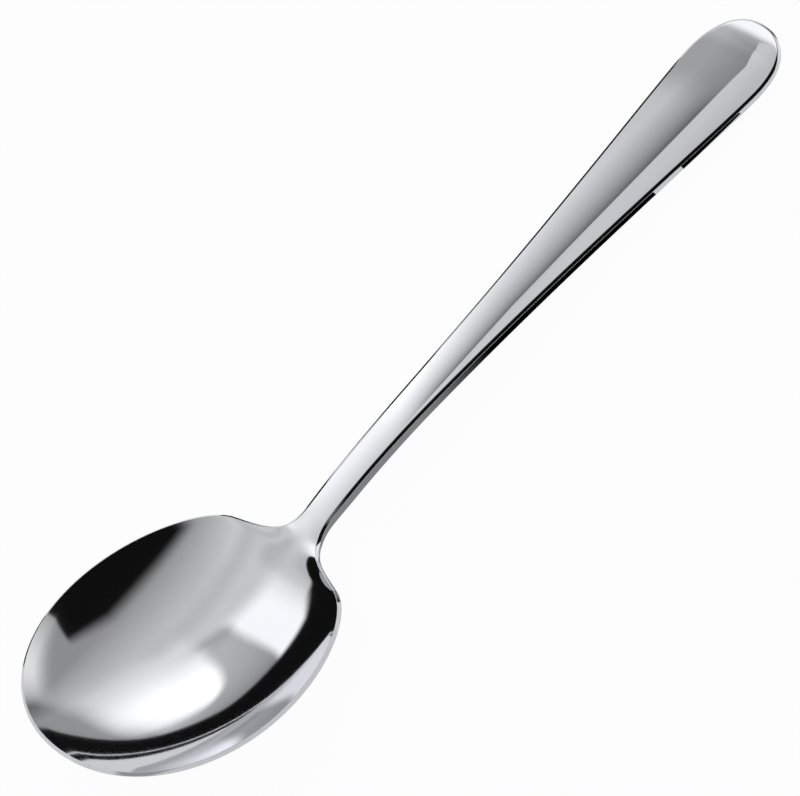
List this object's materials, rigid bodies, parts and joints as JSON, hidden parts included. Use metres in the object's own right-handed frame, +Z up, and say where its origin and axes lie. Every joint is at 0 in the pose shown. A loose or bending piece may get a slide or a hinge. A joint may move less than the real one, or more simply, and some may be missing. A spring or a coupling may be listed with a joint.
{
  "type": "serving spoon",
  "caption": "One-piece stainless steel serving spoon with a wide shallow bowl, a slim neck and a handle that widens to a rounded end, for lifting and serving food.",
  "frame": {"origin": "on the table, under the middle of the spoon's length and width", "axes": "+X along the spoon from the bowl towards the end of the handle, +Y across it, +Z up out of the open bowl"},
  "size_m": [0.215, 0.055, 0.0226],
  "materials": {
    "polished_steel": "mirror polished stainless steel"
  },
  "bodies": {
    "root": {"bowl": "polished_steel", "handle": "polished_steel"}
  },
  "joints": []
}
